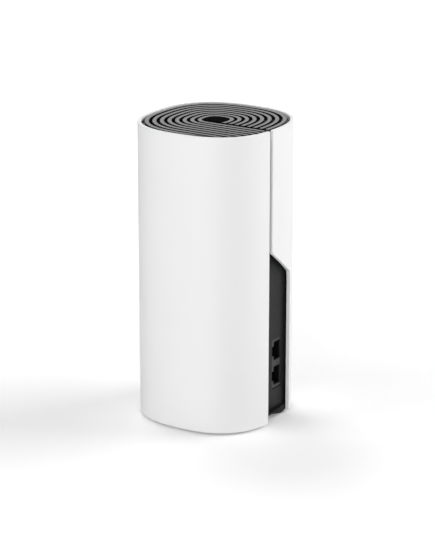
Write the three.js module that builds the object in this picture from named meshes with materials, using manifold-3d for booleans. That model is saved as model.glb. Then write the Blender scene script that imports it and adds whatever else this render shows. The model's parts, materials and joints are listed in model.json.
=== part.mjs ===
// Mesh wifi node: a rounded-square tower with a wrapped shell, a ribbed top grille and a recessed port panel.
// Millimetres, +Z up. The origin is the centre of the footprint on the table.
// -Y is the back, where the ports are.

import * as THREE from 'three';
import { mergeVertices } from 'three/addons/utils/BufferGeometryUtils.js';
import Module from 'manifold-3d';

const wasm = await Module();
wasm.setup();

// ---------------------------------------------------------------- driving dimensions

// Body
const height = 190;
const width = 90.7;                 // across the flats
const squareness = 2.5;             // superellipse exponent of every plan outline
const bodySegments = 72;            // facets round the shell
const coreSegments = 48;            // facets round what is inside it
const baseSegments = 96;            // facets round the base plate

// Outer shell
const shellWall = 2.35;
const shellLift = 1.5;              // lower edge above the table
const slotLeft = -9;                // the shell's plain end
const slotRight = -6;               // the shell's end with the cut-out
const slotCorner = 2;
const recessTop = 112.4;            // where the cut-out leaves the slot
const recessRight = 18.2;
const recessFall = 37.4;            // degrees below level of its upper edge
const recessCorner = 10;
const recessTip = 3;
const recessDepth = 5.85;           // shell face to port panel

// Fits
const gap = 0.3;                    // between pieces that seat on each other
const over = 1;                     // how far a cutting tool runs past the face it cuts
const shellToBase = 0.4;
const shellToCore = 0.6;
const shellToGrille = 1.9;

// Core and port panel
const coreWall = 1.8;
const coreSeam = -3;                // the two halves meet at the front here
const panelThickness = 2;
const bossRadius = 3.5;
const bossInset = 1.9;              // boss centre inside the core's inner corner
const baseBossHeight = 17;
const topBossHeight = 13;
const pilotRadius = 1.6;
const pilotFloor = 2;               // solid left at a pilot hole's blind end

// Base
const baseBottom = 1.8;
const basePlate = 2.5;
const rimHeight = 1.9;
const rimWidth = 6.1;
const padSpread = 1.5;              // screw pads wider than the bosses on them
const ventWidth = 2.6;
const ventPitch = 6;
const baseVentPitch = 4.8;
const baseVentGap = 3;              // label's side to the first slot's middle
const footRadius = 4.5;
const footRecess = 0.6;
const footInset = 6.6;              // foot centre in from the screw's, on both axes
const notchRight = 11;              // cable notch under the rim, open at the back
const notchSlope = 12;
const notchRoof = 1.2;
const labelWidth = 34;
const labelLength = 22;
const labelThickness = 0.3;
const labelToFoot = 0.8;            // label's rear edge ahead of the rear feet
const labelProud = 0.05;
const labelBed = 0.1;               // clear of its recess's roof

// Screws
const screwRadius = 1.4;
const screwHeadRadius = 2.7;
const screwHeadHeight = 1.6;
const screwClearance = 0.3;
const screwDriveRadius = 1;
const screwBlindGap = 2;            // screw's end short of its boss's pilot floor

// Grille and top frame
const ribWidth = 2.25;
const ribPitch = 4.36;
const ribFirst = 9.35;              // half-width of the innermost rib's centre line
const ribHeight = 2.8;
const grilleDrop = 0.2;             // rib tops below the shell's top edge
const grilleSegments = 40;
const spokeCount = 6;
const spokeWidth = 2;
const spokeHeight = 1.8;
const meshThickness = 0.4;
const topPlate = 3.2;
const railDepth = 5;                // how far the rails reach over the board's edges

// Board
const boardFace = 1.8;              // the ports' side
const boardThickness = 1.6;
const boardLift = 8.5;
const boardToPanel = 0.5;
const boardToFront = 4.6;           // board's front edge to the core's inner wall
const railWall = 1.3;
const cradleGrip = 4;               // how far the cradle reaches up the board
const railEnd = 1;                  // front rail's top below the top rail
const railStart = 10;               // front rail's foot above the board's

// Network sockets, a quarter turn round, latch side towards the board
const lowerPortZ = 27.4;
const jackSpacing = 0.4;            // between the two sockets
const jackWall = 2;                 // beside the port
const jackCover = 2.4;              // over the contacts
const jackDepth = 21;
const jackRecess = 0.5;             // socket face behind the panel's face
const portLatchX = 4.4;
const portLatchStep = 2.3;
const portBody = 7.3;
const portWidth = 12.1;
const portLatchWidth = 6.4;
const portDepth = 14;
const contactCount = 8;
const contactPitch = 1.02;
const contactWidth = 0.5;
const contactThickness = 0.7;
const contactInset = 1;             // contact's ends inside its pocket's
const contactRoom = 1.8;            // pocket for the contacts, past the port
const contactSetback = 3;           // that pocket behind the socket's face
const carrierThickness = 0.6;
const windowMargin = 0.6;
const windowEndMargin = 2.2;

// Power inlet, on the board's other side
const inletWidth = 9;
const inletHeight = 10.5;
const inletDepth = 13;
const inletZ = 14.2;
const inletBore = 2.85;
const inletBoreDepth = 9.5;
const inletPinRadius = 1.05;
const inletPinLength = 8;
const inletPanelHole = 3.5;

// Cooling, stacked out from the board
const canHeight = 3;
const canWall = 0.4;
const canLength = 46;
const canWidth = 38;
const padThickness = 1;
const sinkBase = 3;
const sinkToRail = 6;               // heat sink's edge to the board's front rail
const sinkLength = 62;
const finHeight = 13;
const finThickness = 1.4;
const finCount = 8;
const spreaderThickness = 2;
const coolingZ = 112;
const chipHeight = 1.2;
const processorHeight = 1.4;
const sinkPostInset = 4;
const sinkPostRadius = 2.9;

// Antennas
const antennaLength = 60;
const antennaWidth = 14;
const antennaThickness = 0.8;
const antennaDrop = 20.7;           // antenna's top below the core's
const leadRadius = 0.6;
const leadSteps = 20;
const connectorRadius = 1.5;
const connectorHeight = 1.5;
const connectorZ = 72;
const connectorY = 20;

// Status light
const lightZ = 12;
const lightWidth = 5;
const lightHeight = 2;
const lightRecess = 0.2;

// Reset button, pressed upward
const buttonY = 18;
const buttonRadius = 1.8;
const buttonFlange = 3;
const buttonFlangeHeight = 1.8;
const buttonStalk = 1.2;
const guideWall = 1;
const buttonTravel = 0.7;
const buttonSetback = 0.1;          // button's face above the underside
const switchSide = 6;
const switchHeight = 3.5;
const switchLegs = 1;               // board to the switch's square body
const plungerProud = 0.7;
const plungerClearance = 0.2;
const plungerRadius = 1.3;
const plungerLength = 1.5;

// ---------------------------------------------------------------- derived sizes

const outerHalf = width / 2;
const shellInner = outerHalf - shellWall;
const coreHalf = shellInner - shellToCore;
const coreInner = coreHalf - coreWall;
const baseHalf = shellInner - shellToBase;
const grilleHalf = shellInner - shellToGrille;

const panelFace = -outerHalf + recessDepth;
const panelBack = panelFace + panelThickness;
const panelEdge = squircleReach(shellInner - gap, panelFace);

const baseTop = baseBottom + basePlate;
const rimTop = baseTop + rimHeight;
const coreBottom = rimTop + gap;

const ribTop = height - grilleDrop;
const ribBottom = ribTop - ribHeight;
const spokeBottom = ribBottom - spokeHeight;
const meshTop = spokeBottom - gap;
const meshBottom = meshTop - meshThickness;
const frameTop = meshBottom - gap;
const frameBottom = frameTop - topPlate;
const coreTop = frameBottom - gap;

const boardBack = boardFace - boardThickness;
const boardRear = panelBack + boardToPanel;
const boardFront = coreInner - boardToFront;
const boardTop = frameBottom - gap;
const boardMiddle = (boardFace + boardBack) / 2;

const bossPlace = coreInner * 2 ** (-1 / squareness) - bossInset;
const corners = [[1, 1], [-1, 1], [-1, -1], [1, -1]];

const portTop = portLatchX + portLatchStep + portBody;
const jackWidth = portWidth + 2 * jackWall;
const jackHeight = portTop + jackCover - boardFace - gap;
const portPitch = jackWidth + jackSpacing;
const jackFace = panelFace + jackRecess;
const inletX = boardBack - gap - inletWidth / 2;

const sinkWidth = 2 * (boardFront - railDepth - sinkToRail);
const canTop = boardFace + gap + canHeight;
const padTop = canTop + gap + padThickness;
const sinkFoot = padTop + gap;
const radioCanTop = boardBack - gap - canHeight;
const radioPadTop = radioCanTop - gap - padThickness;
const spreaderFoot = radioPadTop - gap;

const cradleTop = boardLift + cradleGrip;
const buttonX = boardFace + gap + switchLegs + switchSide / 2;
const switchBottom = cradleTop + gap;
const plungerBottom = switchBottom - plungerProud;
const stalkTop = plungerBottom - gap;
const buttonFace = baseBottom + buttonSetback;
const flangeFoot = baseTop + gap;
const flangeMiddle = flangeFoot + buttonFlangeHeight / 2;

// ---------------------------------------------------------------- shape helpers

// A point of the plan outline with the given half-width, at a turn from +X.
function squirclePoint(half, turn) {
  const curl = (value) => Math.sign(value) * Math.abs(value) ** (2 / squareness);
  return new THREE.Vector2(half * curl(Math.cos(turn)), half * curl(Math.sin(turn)));
}

// How far the outline reaches across at a given distance from the other axis.
function squircleReach(half, offset) {
  return half * (1 - Math.min(1, Math.abs(offset) / half) ** squareness) ** (1 / squareness);
}

function squircle(half, segments = coreSegments) {
  return Array.from({ length: segments }, (_, i) => squirclePoint(half, (2 * Math.PI * i) / segments));
}

function solidOf(geometry) {
  const bare = geometry.clone();
  bare.deleteAttribute('normal');
  bare.deleteAttribute('uv');
  const merged = mergeVertices(bare, 1e-4);
  return new wasm.Manifold(new wasm.Mesh({
    numProp: 3,
    vertProperties: Float32Array.from(merged.attributes.position.array),
    triVerts: Uint32Array.from(merged.index.array),
  }));
}

function geometryOf(solid) {
  const mesh = solid.getMesh();
  const geometry = new THREE.BufferGeometry();
  geometry.setAttribute('position', new THREE.BufferAttribute(mesh.vertProperties, 3));
  geometry.setIndex(new THREE.BufferAttribute(mesh.triVerts, 1));
  geometry.computeVertexNormals();
  return geometry;
}

function box([x0, x1], [y0, y1], [z0, z1]) {
  const geometry = new THREE.BoxGeometry(x1 - x0, y1 - y0, z1 - z0);
  geometry.translate((x0 + x1) / 2, (y0 + y1) / 2, (z0 + z1) / 2);
  return solidOf(geometry);
}

// A round bar along X, Y or Z. centre is the middle of its low end.
function rod(axis, radius, centre, length, segments = 20) {
  const geometry = new THREE.CylinderGeometry(radius, radius, length, segments);
  geometry.translate(0, length / 2, 0);
  if (axis === 'x') geometry.rotateZ(-Math.PI / 2);
  if (axis === 'z') geometry.rotateX(Math.PI / 2);
  geometry.translate(...centre);
  return solidOf(geometry);
}

const plainExtrude = { bevelEnabled: false, curveSegments: 8 };

// An upright prism over a plan outline.
function prism(outline, [z0, z1], holes = []) {
  const shape = outline instanceof THREE.Shape ? outline : new THREE.Shape(outline);
  shape.holes.push(...holes.map((hole) => new THREE.Path(hole)));
  const geometry = new THREE.ExtrudeGeometry(shape, { ...plainExtrude, depth: z1 - z0 });
  geometry.translate(0, 0, z0);
  return solidOf(geometry);
}

// A prism along Y over an outline drawn in X and Z.
function wallPrism(outline, [y0, y1]) {
  const geometry = new THREE.ExtrudeGeometry(outline, { ...plainExtrude, depth: y1 - y0 });
  geometry.rotateX(Math.PI / 2);
  geometry.translate(0, y1, 0);
  return solidOf(geometry);
}

function ring(outer, inner, span, segments = coreSegments) {
  return prism(squircle(outer, segments), span, [squircle(inner, segments)]);
}

function union(...solids) {
  return solids.reduce((whole, piece) => whole.add(piece));
}

function cut(solid, ...tools) {
  return tools.reduce((rest, tool) => rest.subtract(tool), solid);
}

// A pan-head screw along Z or X. seat is where the head meets its piece.
// way is +1 when the screw points up the axis.
function screw(axis, seat, length, way = 1) {
  const index = { x: 0, z: 2 }[axis];
  const start = (offset) => seat.map((value, i) => (i === index ? value + offset : value));
  const head = rod(axis, screwHeadRadius, start(way > 0 ? -screwHeadHeight : 0), screwHeadHeight, 16);
  const shankStart = start(way > 0 ? -screwHeadHeight / 2 : -length);
  const shank = rod(axis, screwRadius, shankStart, length + screwHeadHeight / 2, 12);
  const driveStart = start(way > 0 ? -screwHeadHeight - over : screwHeadHeight / 2);
  const socket = rod(axis, screwDriveRadius, driveStart, screwHeadHeight / 2 + over, 6);
  return cut(union(head, shank), socket);
}

// ---------------------------------------------------------------- finishes

const finishes = {
  shell: { color: 0xf1f1f0, roughness: 0.45 },
  grille: { color: 0x242425, roughness: 0.25 },
  dark: { color: 0x2b2c2d, roughness: 0.6 },
  panel: { color: 0x3c3d3e, roughness: 0.55 },
  socket: { color: 0x1a1a1b, roughness: 0.5 },
  black: { color: 0x0d0d0d, roughness: 0.9 },
  rubber: { color: 0x2a2a2a, roughness: 0.95 },
  label: { color: 0xe9e9e6, roughness: 0.6 },
  board: { color: 0x1f5a3a, roughness: 0.5 },
  chip: { color: 0x18181a, roughness: 0.45 },
  tin: { color: 0xb9bcbd, roughness: 0.3, metalness: 0.9 },
  aluminium: { color: 0xa9acb0, roughness: 0.4, metalness: 0.9 },
  steel: { color: 0x8f9194, roughness: 0.35, metalness: 0.9 },
  gold: { color: 0xc9a24a, roughness: 0.3, metalness: 1 },
  pad: { color: 0x8fa3b5, roughness: 0.9 },
  clear: { color: 0xf4f7f8, roughness: 0.15 },
  ferrite: { color: 0x3a3a3c, roughness: 0.8 },
  sleeve: { color: 0x30343c, roughness: 0.5 },
};

const materials = Object.fromEntries(
  Object.entries(finishes).map(([name, finish]) => (
    [name, new THREE.MeshStandardMaterial({ name, ...finish })]
  )),
);

const node = new THREE.Group();
node.name = 'mesh_wifi_node';

function place(name, finish, shape) {
  const geometry = shape instanceof THREE.BufferGeometry ? shape : geometryOf(shape);
  const mesh = new THREE.Mesh(geometry, materials[finish]);
  mesh.name = name;
  node.add(mesh);
}

// ---------------------------------------------------------------- outer shell

function shellSlot() {
  const shape = new THREE.Shape();
  shape.moveTo(slotLeft, 0);
  shape.lineTo(slotRight, 0);
  shape.lineTo(slotRight, height - slotCorner);
  shape.absarc(slotRight + slotCorner, height - slotCorner, slotCorner, Math.PI, Math.PI / 2, true);
  shape.lineTo(slotRight + slotCorner, height + over);
  shape.lineTo(slotLeft, height + over);
  shape.closePath();
  return shape;
}

// The cut-out's upper edge falls away from the slot, turns a round corner and drops to the open lower edge.
function shellRecess() {
  const fall = THREE.MathUtils.degToRad(recessFall);
  const bend = Math.tan((Math.PI / 2 - fall) / 2);
  const cornerZ = recessTop - (recessRight - slotRight) * Math.tan(fall) - recessCorner * bend;
  const tipZ = recessTop + recessTip * bend;
  const shape = new THREE.Shape();
  shape.moveTo(slotLeft, 0);
  shape.lineTo(recessRight, 0);
  shape.lineTo(recessRight, cornerZ);
  shape.absarc(recessRight - recessCorner, cornerZ, recessCorner, 0, Math.PI / 2 - fall, false);
  shape.absarc(slotRight + recessTip, tipZ, recessTip, 1.5 * Math.PI - fall, Math.PI, true);
  shape.lineTo(slotLeft, tipZ);
  shape.closePath();
  return shape;
}

// A flat slot with round ends, as wide and high as the light pipe plus its clearance.
function lightOutline(clearance) {
  const radius = lightHeight / 2 + clearance;
  const reach = lightWidth / 2 + clearance - radius;
  const shape = new THREE.Shape();
  shape.moveTo(boardMiddle - reach, lightZ - radius);
  shape.absarc(boardMiddle + reach, lightZ, radius, -Math.PI / 2, Math.PI / 2, false);
  shape.absarc(boardMiddle - reach, lightZ, radius, Math.PI / 2, 1.5 * Math.PI, false);
  return shape;
}

const behind = [-outerHalf - over, panelFace];
const ahead = [coreInner - over, outerHalf + over];
const wrap = ring(outerHalf, shellInner, [shellLift, height], bodySegments);
const outerShell = cut(
  wrap,
  wallPrism(shellSlot(), behind),
  wallPrism(shellRecess(), behind),
  wallPrism(lightOutline(gap), ahead),
);
place('outer_shell', 'shell', outerShell);

// ---------------------------------------------------------------- top grille

// A rib starts as a straight bar on the left, follows the outline round the front and right,
// and ends in a round tip at the back, short of the line that carries the shell's slot across the top.
function ribOutline(half) {
  const outer = half + ribWidth / 2;
  const inner = half - ribWidth / 2;
  const tipX = slotRight + ribWidth / 2;
  const tipTurn = (edge) => -Math.PI / 2 - Math.asin((Math.abs(tipX) / edge) ** (squareness / 2));
  const arc = (edge) => {
    const count = Math.round(grilleSegments * 0.8);
    const end = tipTurn(edge);
    const turn = (i) => Math.PI + ((end - Math.PI) * i) / count;
    return Array.from({ length: count + 1 }, (_, i) => squirclePoint(edge, turn(i)));
  };
  const barEnd = (edge) => new THREE.Vector2(-edge, -squircleReach(grilleHalf, edge) - 1e-3);
  const outerArc = arc(outer);
  const innerArc = arc(inner);
  const tipMiddle = outerArc.at(-1).clone().add(innerArc.at(-1)).multiplyScalar(0.5);
  const tip = Array.from({ length: 5 }, (_, i) => {
    const turn = -Math.PI / 2 - (Math.PI * (i + 1)) / 6;
    return new THREE.Vector2(Math.cos(turn), Math.sin(turn)).multiplyScalar(ribWidth / 2).add(tipMiddle);
  });
  return [barEnd(outer), ...outerArc, ...tip, ...innerArc.reverse(), barEnd(inner)];
}

const ribCount = Math.floor((grilleHalf - ribWidth / 2 - ribFirst) / ribPitch + 1e-6) + 1;
const ribs = Array.from({ length: ribCount }, (_, i) => (
  prism(ribOutline(ribFirst + i * ribPitch), [ribBottom, ribTop])
));
const spokeSpan = [spokeBottom, ribBottom + gap];
const grilleRing = ring(baseHalf, baseHalf - 2, [spokeBottom, ribBottom - gap], grilleSegments);
const spokes = Array.from({ length: spokeCount }, (_, i) => {
  const reach = baseHalf - 1;
  const start = ribFirst - ribWidth / 2;
  const turn = (360 * (i + 0.25)) / spokeCount;
  return box([start, reach], [-spokeWidth / 2, spokeWidth / 2], spokeSpan).rotate([0, 0, turn]);
});
const grilleBound = prism(squircle(baseHalf, grilleSegments), spokeSpan);
const spokeWheel = union(...spokes).intersect(grilleBound);
place('top_grille', 'grille', union(grilleRing, spokeWheel, ...ribs));

// ---------------------------------------------------------------- dust mesh and top frame

place('dust_mesh', 'black', prism(squircle(baseHalf - 1, grilleSegments), [meshBottom, meshTop]));

const upright = (radius, sides) => (x, y, [z0, z1]) => rod('z', radius, [x, y, z0], z1 - z0, sides);
const screwHole = upright(screwRadius + screwClearance, 12);
const headHole = upright(screwHeadRadius + screwClearance, 20);
const bossPlaces = corners.map(([x, y]) => [x * bossPlace, y * bossPlace]);
const topScrewPlaces = bossPlaces.filter((place, i) => i % 2 === 0);

// Air leaves through straight slots on both sides of the board's top rail.
function topVents() {
  const reach = bossPlace - bossRadius - ventPitch;
  const rows = Math.floor((reach - railWall) / ventPitch);
  const offsets = Array.from({ length: rows }, (_, i) => railWall + ventPitch * (i + 1));
  const span = [frameBottom - over, frameTop + over];
  const slot = (x) => box([x - ventWidth / 2, x + ventWidth / 2], [-reach, reach], span);
  return offsets.flatMap((offset) => [slot(boardMiddle + offset), slot(boardMiddle - offset)]);
}

const topRail = box(
  [boardBack - gap - railWall, boardFace + gap + railWall],
  [boardRear + jackDepth, boardFront - railDepth - gap],
  [boardTop - railDepth, frameBottom + gap],
);
const boardRoom = [[boardBack - gap, boardFace + gap], [boardRear - over, boardFront + gap]];
const boardSlot = (span) => box(...boardRoom, span);
const topFrame = cut(
  union(prism(squircle(baseHalf), [frameBottom, frameTop]), topRail),
  boardSlot([boardTop - railDepth - over, boardTop + gap / 2]),
  ...topVents(),
  ...topScrewPlaces.map(([x, y]) => screwHole(x, y, [frameBottom - over, frameTop + over])),
  ...topScrewPlaces.map(([x, y]) => headHole(x, y, [frameTop - screwHeadHeight - gap, frameTop + over])),
);
place('top_frame', 'dark', topFrame);

topScrewPlaces.forEach(([x, y], i) => {
  const seat = [x, y, frameTop - screwHeadHeight];
  place(`top_screw_${i + 1}`, 'steel', screw('z', seat, topBossHeight - screwBlindGap, -1));
});

// ---------------------------------------------------------------- core halves and port panel

const coreSpan = [coreBottom, coreTop];
const farOut = outerHalf + 5;
const baseBossTop = coreBottom + baseBossHeight;
const topBossFoot = coreTop - topBossHeight;
const cornerBoss = upright(bossRadius, 20);
const pilotHole = upright(pilotRadius, 12);
const cornerBosses = bossPlaces.flatMap(([x, y]) => [
  cornerBoss(x, y, [coreBottom, baseBossTop]),
  cornerBoss(x, y, [topBossFoot, coreTop]),
]);
const pilotHoles = bossPlaces.flatMap(([x, y]) => [
  pilotHole(x, y, [coreBottom - over, baseBossTop - pilotFloor]),
  pilotHole(x, y, [topBossFoot + pilotFloor, coreTop + over]),
]);
const frontRail = cut(
  box(
    [boardBack - gap - railWall, boardFace + gap + railWall],
    [boardFront - railDepth, coreInner + coreWall / 2],
    [boardLift + railStart, boardTop - railDepth - railEnd],
  ),
  boardSlot([0, height]),
);
const rearOpening = box([-panelEdge - gap, panelEdge + gap], [-farOut, 0], [0, height]);
const coreTube = cut(
  union(ring(coreHalf, coreInner, coreSpan), ...cornerBosses),
  rearOpening,
  ...pilotHoles,
);
const leftSide = box([-farOut, coreSeam - gap / 2], [-farOut, farOut], [0, height]);
const rightSide = box([coreSeam + gap / 2, farOut], [-farOut, farOut], [0, height]);
place('core_shell_left', 'dark', coreTube.intersect(leftSide));
place('core_shell_right', 'dark', cut(
  union(coreTube.intersect(rightSide), frontRail),
  wallPrism(lightOutline(gap), ahead),
));

const portCentres = { upper: lowerPortZ + portPitch, lower: lowerPortZ };
const portWindow = box(
  [portLatchX - windowMargin, portTop + windowMargin],
  [panelFace - over, panelBack + over],
  [
    portCentres.lower - portWidth / 2 - windowEndMargin,
    portCentres.upper + portWidth / 2 + windowEndMargin,
  ],
);
// Behind the window the panel is thinned so that the sockets' faces come forward.
const socketPocket = box(
  [boardFace, boardFace + jackHeight + 2 * gap],
  [jackFace - gap, panelBack + over],
  [
    portCentres.lower - jackWidth / 2 - gap,
    portCentres.upper + jackWidth / 2 + gap,
  ],
);
place('rear_panel', 'panel', cut(
  box([-panelEdge, panelEdge], [panelFace, panelBack], coreSpan),
  portWindow,
  socketPocket,
  rod('y', inletPanelHole, [inletX, panelFace - over, inletZ], panelThickness + 2 * over),
));

// ---------------------------------------------------------------- network sockets

for (const [name, z] of Object.entries(portCentres)) {
  const jack = box(
    [boardFace + gap, boardFace + gap + jackHeight],
    [jackFace, jackFace + jackDepth],
    [z - jackWidth / 2 + gap / 2, z + jackWidth / 2 - gap / 2],
  );
  const mouth = [jackFace - over, jackFace + portDepth];
  const body = box([portLatchX + portLatchStep, portTop], mouth, [z - portWidth / 2, z + portWidth / 2]);
  const latch = box(
    [portLatchX, portLatchX + portLatchStep + over],
    mouth,
    [z - portLatchWidth / 2, z + portLatchWidth / 2],
  );
  const contactSpread = contactCount * contactPitch / 2 + gap;
  const contactPocket = box(
    [portTop - over, portTop + contactRoom],
    [jackFace + contactSetback, jackFace + portDepth],
    [z - contactSpread, z + contactSpread],
  );
  place(`rj45_jack_${name}`, 'socket', cut(jack, body, latch, contactPocket));

  const carrier = box(
    [portTop + contactRoom - gap - carrierThickness, portTop + contactRoom - gap],
    [jackFace + contactSetback + gap, jackFace + portDepth - gap],
    [z - contactSpread + gap, z + contactSpread - gap],
  );
  const contacts = Array.from({ length: contactCount }, (_, i) => {
    const middle = z + (i - (contactCount - 1) / 2) * contactPitch;
    return box(
      [portTop + gap, portTop + gap + contactThickness],
      [jackFace + contactSetback + contactInset, jackFace + portDepth - contactInset],
      [middle - contactWidth / 2, middle + contactWidth / 2],
    );
  });
  place(`rj45_contacts_${name}`, 'gold', union(carrier, ...contacts));
}

// ---------------------------------------------------------------- power inlet

const inletRear = panelBack + gap;
place('dc_jack', 'socket', cut(
  box(
    [inletX - inletWidth / 2, inletX + inletWidth / 2],
    [inletRear, inletRear + inletDepth],
    [inletZ - inletHeight / 2, inletZ + inletHeight / 2],
  ),
  rod('y', inletBore, [inletX, inletRear - over, inletZ], inletBoreDepth + over),
));
place('dc_jack_pin', 'steel', rod(
  'y',
  inletPinRadius,
  [inletX, inletRear + inletBoreDepth - inletPinLength - gap, inletZ],
  inletPinLength,
));

// ---------------------------------------------------------------- board and what is on it

const sinkPosts = corners.map(([y, z]) => [
  y * (sinkWidth / 2 - sinkPostInset),
  coolingZ + z * (sinkLength / 2 - sinkPostInset),
]);
const acrossBar = (radius, [y, z], [x0, x1]) => rod('x', radius, [x0, y, z], x1 - x0, 12);
const clearHole = screwRadius + screwClearance;
place('main_board', 'board', cut(
  box([boardBack, boardFace], [boardRear, boardFront], [boardLift, boardTop]),
  ...sinkPosts.map((post) => acrossBar(clearHole, post, [boardBack - over, boardFace + over])),
));

// A block on the ports' side (side 1) or on the other side (side -1) of the board.
function onBoard(side, rise, [y0, y1], [z0, z1]) {
  const foot = side > 0 ? boardFace + gap / 2 : boardBack - gap / 2;
  const x = side > 0 ? [foot, foot + rise] : [foot - rise, foot];
  return box(x, [y0, y1], [z0, z1]);
}

// A shield can, open towards the board.
function can(side) {
  const ySpan = [-canWidth / 2, canWidth / 2];
  const zSpan = [coolingZ - canLength / 2, coolingZ + canLength / 2];
  const inset = ([low, high]) => [low + canWall, high - canWall];
  const foot = side > 0 ? boardFace + gap : boardBack - gap;
  const top = foot + side * canHeight;
  const order = (a, b) => [Math.min(a, b), Math.max(a, b)];
  return cut(
    box(order(foot, top), ySpan, zSpan),
    box(order(foot - side, top - side * canWall), inset(ySpan), inset(zSpan)),
  );
}

place('processor_shield', 'tin', can(1));
place('radio_shield', 'tin', can(-1));
place('processor_chip', 'chip', onBoard(1, processorHeight, [-14, 2], [coolingZ - 8, coolingZ + 8]));
place('memory_chip', 'chip', onBoard(1, chipHeight, [5, 16], [coolingZ - 7, coolingZ + 7]));
place('radio_chip_1', 'chip', onBoard(-1, chipHeight, [-14, -4], [coolingZ + 4, coolingZ + 14]));
place('radio_chip_2', 'chip', onBoard(-1, chipHeight, [-14, -4], [coolingZ - 14, coolingZ - 4]));
place('flash_chip', 'chip', onBoard(1, chipHeight, [8, 14], [62, 67]));
place('network_switch_chip', 'chip', onBoard(1, chipHeight, [-8, 4], [58, 70]));

const transformerY = [jackFace + jackDepth + 3, jackFace + jackDepth + 11];
for (const [name, z] of Object.entries(portCentres)) {
  place(`network_transformer_${name}`, 'chip', onBoard(1, 5.8, transformerY, [z - 6.5, z + 6.5]));
}
const inletEnd = inletRear + inletDepth;
place('power_inductor', 'ferrite', onBoard(-1, 5, [inletEnd + 3, inletEnd + 11], [28, 36]));
[0, 1].forEach((i) => {
  const y = inletEnd + 4 + 10 * i;
  place(`filter_capacitor_${i + 1}`, 'sleeve', rod('x', 3.2, [boardBack - gap / 2 - 8, y, 44], 8));
});

// ---------------------------------------------------------------- cooling

const coolingY = [-sinkWidth / 2, sinkWidth / 2];
const coolingSpan = [coolingZ - sinkLength / 2, coolingZ + sinkLength / 2];
const padY = [-canWidth / 2 + 2, canWidth / 2 - 2];
const padSpan = [coolingZ - canLength / 2 + 2, coolingZ + canLength / 2 - 2];
place('thermal_pad', 'pad', box([canTop + gap, padTop], padY, padSpan));
place('spreader_pad', 'pad', box([radioPadTop, radioCanTop - gap], padY, padSpan));

const finStep = (sinkWidth - 2 * sinkPostInset - finThickness) / (finCount - 1);
const fins = Array.from({ length: finCount }, (_, i) => {
  const y = -sinkWidth / 2 + sinkPostInset + i * finStep;
  return box([sinkFoot + sinkBase / 2, sinkFoot + sinkBase + finHeight], [y, y + finThickness], coolingSpan);
});
const sinkMiddle = sinkFoot + sinkBase / 2;
const postBars = sinkPosts.map((post) => acrossBar(sinkPostRadius, post, [boardFace + gap, sinkMiddle]));
const postPilots = sinkPosts.map((post) => acrossBar(pilotRadius, post, [0, sinkMiddle]));
place('heat_sink', 'aluminium', cut(
  union(box([sinkFoot, sinkFoot + sinkBase], coolingY, coolingSpan), ...fins, ...postBars),
  ...postPilots,
));
const spreaderMiddle = spreaderFoot - spreaderThickness / 2;
const spreaderSpan = [spreaderFoot - spreaderThickness - over, boardBack + over];
place('heat_spreader', 'aluminium', cut(
  union(
    box([spreaderFoot - spreaderThickness, spreaderFoot], coolingY, coolingSpan),
    ...sinkPosts.map((post) => acrossBar(sinkPostRadius, post, [spreaderMiddle, boardBack - gap])),
  ),
  ...sinkPosts.map((post) => acrossBar(clearHole, post, spreaderSpan)),
));
sinkPosts.forEach(([y, z], i) => {
  const seat = [spreaderFoot - spreaderThickness - gap, y, z];
  place(`heat_sink_screw_${i + 1}`, 'steel', screw('x', seat, sinkFoot - seat[0]));
});

// ---------------------------------------------------------------- antennas and their leads

const antennaSpan = [coreTop - antennaDrop - antennaLength, coreTop - antennaDrop];
const wallReach = squircleReach(coreInner, antennaWidth / 2) - gap;
const feedX = wallReach - antennaThickness - leadRadius - gap;

// A coax lead leaves the antenna's lower end, follows the core's inner wall and comes in to the board.
function lead(side, connectorTip) {
  const hug = squirclePoint(coreInner - 6, Math.PI * 0.22);
  const halfway = (antennaSpan[0] + connectorZ) / 2 - 7;
  const path = new THREE.CatmullRomCurve3([
    new THREE.Vector3(side * feedX, 0, antennaSpan[0] + 6),
    new THREE.Vector3(side * feedX, 0, antennaSpan[0] - 8),
    new THREE.Vector3(side * (feedX - 3), 10, halfway),
    new THREE.Vector3(side * hug.x, hug.y, connectorZ - 6),
    new THREE.Vector3(side * hug.x * 0.45, hug.y, connectorZ - 10),
    new THREE.Vector3(connectorTip + side * (leadRadius + gap), connectorY + 2, connectorZ - 4),
    new THREE.Vector3(connectorTip + side * (leadRadius + gap), connectorY, connectorZ + 1),
  ]);
  const section = new THREE.Shape(Array.from({ length: 8 }, (_, i) => (
    new THREE.Vector2(Math.cos((Math.PI * i) / 4), Math.sin((Math.PI * i) / 4)).multiplyScalar(leadRadius)
  )));
  return solidOf(new THREE.ExtrudeGeometry(section, { steps: leadSteps, extrudePath: path }));
}

for (const [name, side] of Object.entries({ left: -1, right: 1 })) {
  const order = (a, b) => [Math.min(a, b), Math.max(a, b)];
  const face = side > 0 ? boardFace + gap / 2 : boardBack - gap / 2;
  const tip = face + side * connectorHeight;
  place(`antenna_${name}`, 'board', box(
    order(side * (wallReach - antennaThickness), side * wallReach),
    [-antennaWidth / 2, antennaWidth / 2],
    antennaSpan,
  ));
  place(`coax_connector_${name}`, 'gold', rod(
    'x',
    connectorRadius,
    [Math.min(face, tip), connectorY, connectorZ],
    connectorHeight,
    16,
  ));
  place(`antenna_lead_${name}`, 'sleeve', lead(side, tip));
}

// ---------------------------------------------------------------- status light

place('status_led', 'clear', onBoard(1, 1.4, [boardFront - 4, boardFront - 1], [lightZ - 1, lightZ + 1]));
place('led_light_pipe', 'clear', wallPrism(
  lightOutline(0),
  [boardFront + gap, outerHalf - lightRecess],
));

// ---------------------------------------------------------------- base plate

const footPlace = bossPlace - footInset;
const footPlaces = corners.map(([x, y]) => [x * footPlace, y * footPlace]);
const labelRear = -footPlace + footRadius + labelToFoot;
const throughBase = [baseBottom - over, coreBottom];
const headSeat = baseBottom + gap + screwHeadHeight;

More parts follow.
